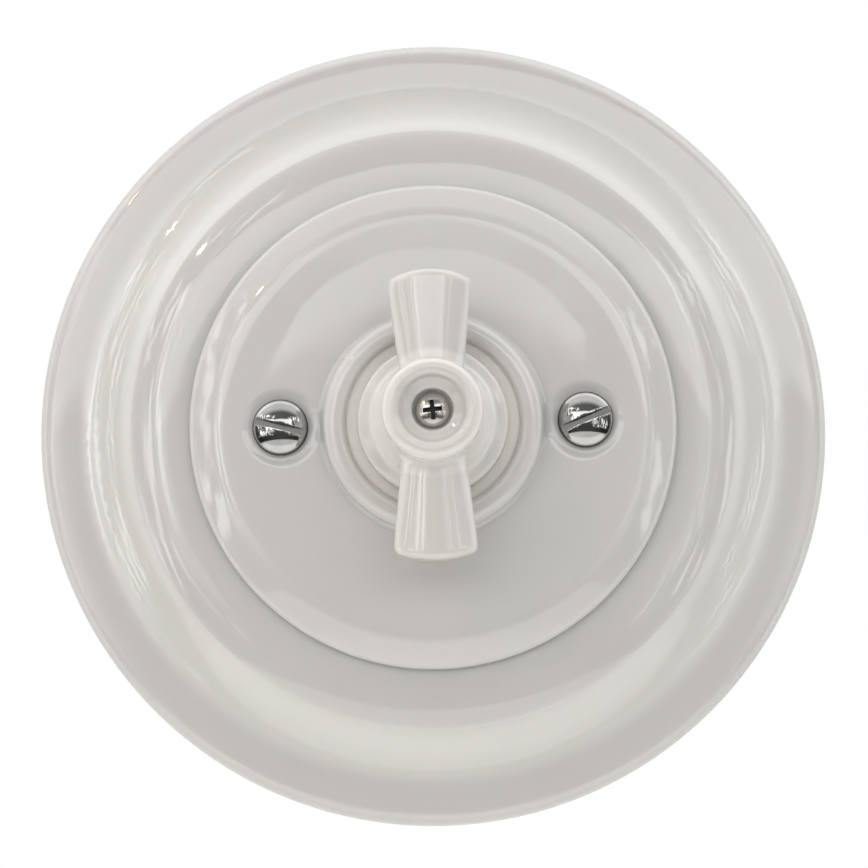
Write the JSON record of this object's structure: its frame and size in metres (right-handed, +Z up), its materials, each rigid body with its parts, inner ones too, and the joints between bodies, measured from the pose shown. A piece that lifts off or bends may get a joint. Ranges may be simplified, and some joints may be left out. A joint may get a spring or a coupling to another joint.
{
  "type": "porcelain rotary switch",
  "caption": "Wall-mounted rotary light switch: round porcelain frame and cover with a winged turn knob that indexes every quarter turn, on a steel plate with a base behind.",
  "frame": {"origin": "on the switch axis, in the plane of the wall, which is the back face of the mounting plate and the foot of the frame", "axes": "+Z up, +X to the right as seen from the room, +Y into the wall; the room is on the -Y side"},
  "size_m": [0.1, 0.0544, 0.1],
  "materials": {
    "glazed_porcelain": "clear glaze over fired white porcelain",
    "knob_porcelain": "clear glaze, a little warmer than the cover",
    "chrome_screw": "polished chrome plate",
    "knob_screw_chrome": "polished chrome plate",
    "zinc_plated_steel": "pressed sheet steel, bright zinc plate",
    "zinc_plated_screw": "bright zinc plate",
    "turned_brass": "turned, bare",
    "terminal_brass": "sawn and drilled bar, bare",
    "contact_brass": "stamped, bare",
    "spring_bronze": "stamped and bent spring bronze",
    "spring_steel": "blued spring steel",
    "steatite": "pressed and fired, unglazed",
    "thermoset": "moulded thermoset"
  },
  "bodies": {
    "fixed": {"outer_frame": "glazed_porcelain", "cover_plate": "glazed_porcelain", "cover_screw_left": "chrome_screw", "cover_screw_right": "chrome_screw", "mounting_plate": "zinc_plated_steel", "pillar_left": "turned_brass", "pillar_right": "turned_brass", "switch_base": "steatite", "base_cap": "steatite", "housing_screws": "zinc_plated_screw", "housing_nuts": "zinc_plated_screw", "detent_spring_upper": "spring_steel", "detent_spring_lower": "spring_steel", "terminal_block_one": "terminal_brass", "terminal_block_two": "terminal_brass", "terminal_block_common": "terminal_brass", "contact_jaw_one": "spring_bronze", "contact_jaw_two": "spring_bronze", "contact_jaw_common": "spring_bronze", "terminal_screws": "zinc_plated_screw", "contact_rivets": "contact_brass"},
    "rotor": {"knob": "knob_porcelain", "knob_screw": "knob_screw_chrome", "spindle": "turned_brass", "index_cam": "thermoset", "contact_carrier": "thermoset", "contact_blade": "contact_brass", "carrier_ring": "thermoset"}
  },
  "joints": [
    {"name": "knob_turn", "type": "hinge", "parent": "fixed", "child": "rotor", "pos_m": [0, 0, 0], "axis": [0, -1, 0], "continuous": true, "deforming": ["detent_spring_upper", "detent_spring_lower"]}
  ]
}
